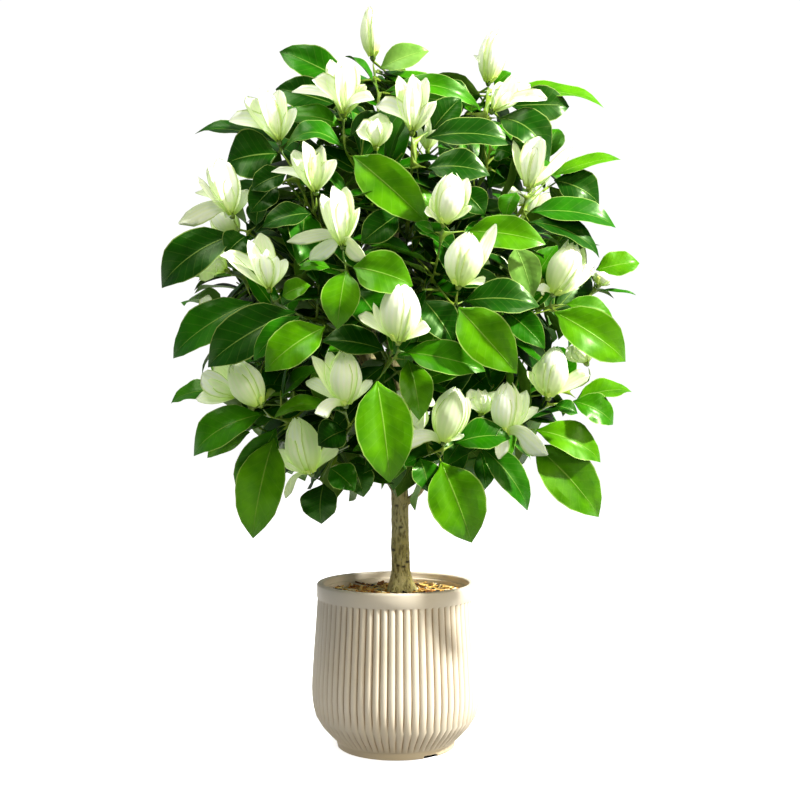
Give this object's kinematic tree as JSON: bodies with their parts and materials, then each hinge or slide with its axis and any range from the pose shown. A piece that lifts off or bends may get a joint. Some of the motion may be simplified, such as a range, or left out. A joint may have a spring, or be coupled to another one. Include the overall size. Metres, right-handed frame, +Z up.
{
  "type": "potted white champaca plant",
  "caption": "Bushy white champaca shrub with a round leafy crown of open and closed white blooms on one trunk, in a round ribbed pot with soil and wood chips.",
  "frame": {"origin": "on the pot's axis at the underside of its foot ring, below the middle of the crown's box", "axes": "+Z up along the pot's axis and the trunk; -Y towards the viewer of the picture; +X to the viewer's right"},
  "size_m": [0.5704, 0.5076, 0.907],
  "materials": {
    "pot_plastic": "matte cream plastic",
    "soil": "loose dark potting soil",
    "wood_chips": "dry wood chips",
    "bark": "speckled grey-brown bark",
    "leaf": "glossy green leaf",
    "petal": "waxy white petal"
  },
  "bodies": {
    "root": {"pot": "pot_plastic", "soil": "soil", "mulch": "wood_chips", "trunk": "bark", "shoot_01": "leaf", "shoot_02": "leaf", "shoot_03": "leaf", "shoot_04": "leaf", "shoot_05": "leaf", "shoot_06": "leaf", "shoot_07": "leaf", "shoot_08": "leaf", "shoot_09": "leaf", "shoot_10": "leaf", "shoot_11": "leaf", "shoot_12": "leaf", "shoot_13": "leaf", "shoot_14": "leaf", "shoot_15": "leaf", "shoot_16": "leaf", "shoot_17": "leaf", "shoot_18": "leaf", "shoot_19": "leaf", "shoot_20": "leaf", "shoot_21": "leaf", "shoot_22": "leaf", "bloom_01": "petal", "bloom_02": "petal", "bloom_03": "petal", "bloom_04": "petal", "bloom_05": "petal", "bloom_06": "petal", "bloom_07": "petal", "bloom_08": "petal", "bloom_09": "petal", "bloom_10": "petal", "bloom_11": "petal", "bloom_12": "petal", "bloom_13": "petal", "bloom_14": "petal", "bloom_15": "petal", "bloom_16": "petal", "bloom_17": "petal", "bloom_18": "petal", "bloom_19": "petal", "bloom_20": "petal", "bloom_22": "petal", "bloom_23": "petal", "bloom_24": "petal", "bloom_25": "petal", "bloom_26": "petal", "bloom_27": "petal", "bloom_28": "petal", "bloom_29": "petal", "bloom_30": "petal", "bloom_31": "petal", "bloom_32": "petal", "bloom_33": "petal", "bloom_34": "petal", "bloom_35": "petal"}
  },
  "joints": []
}
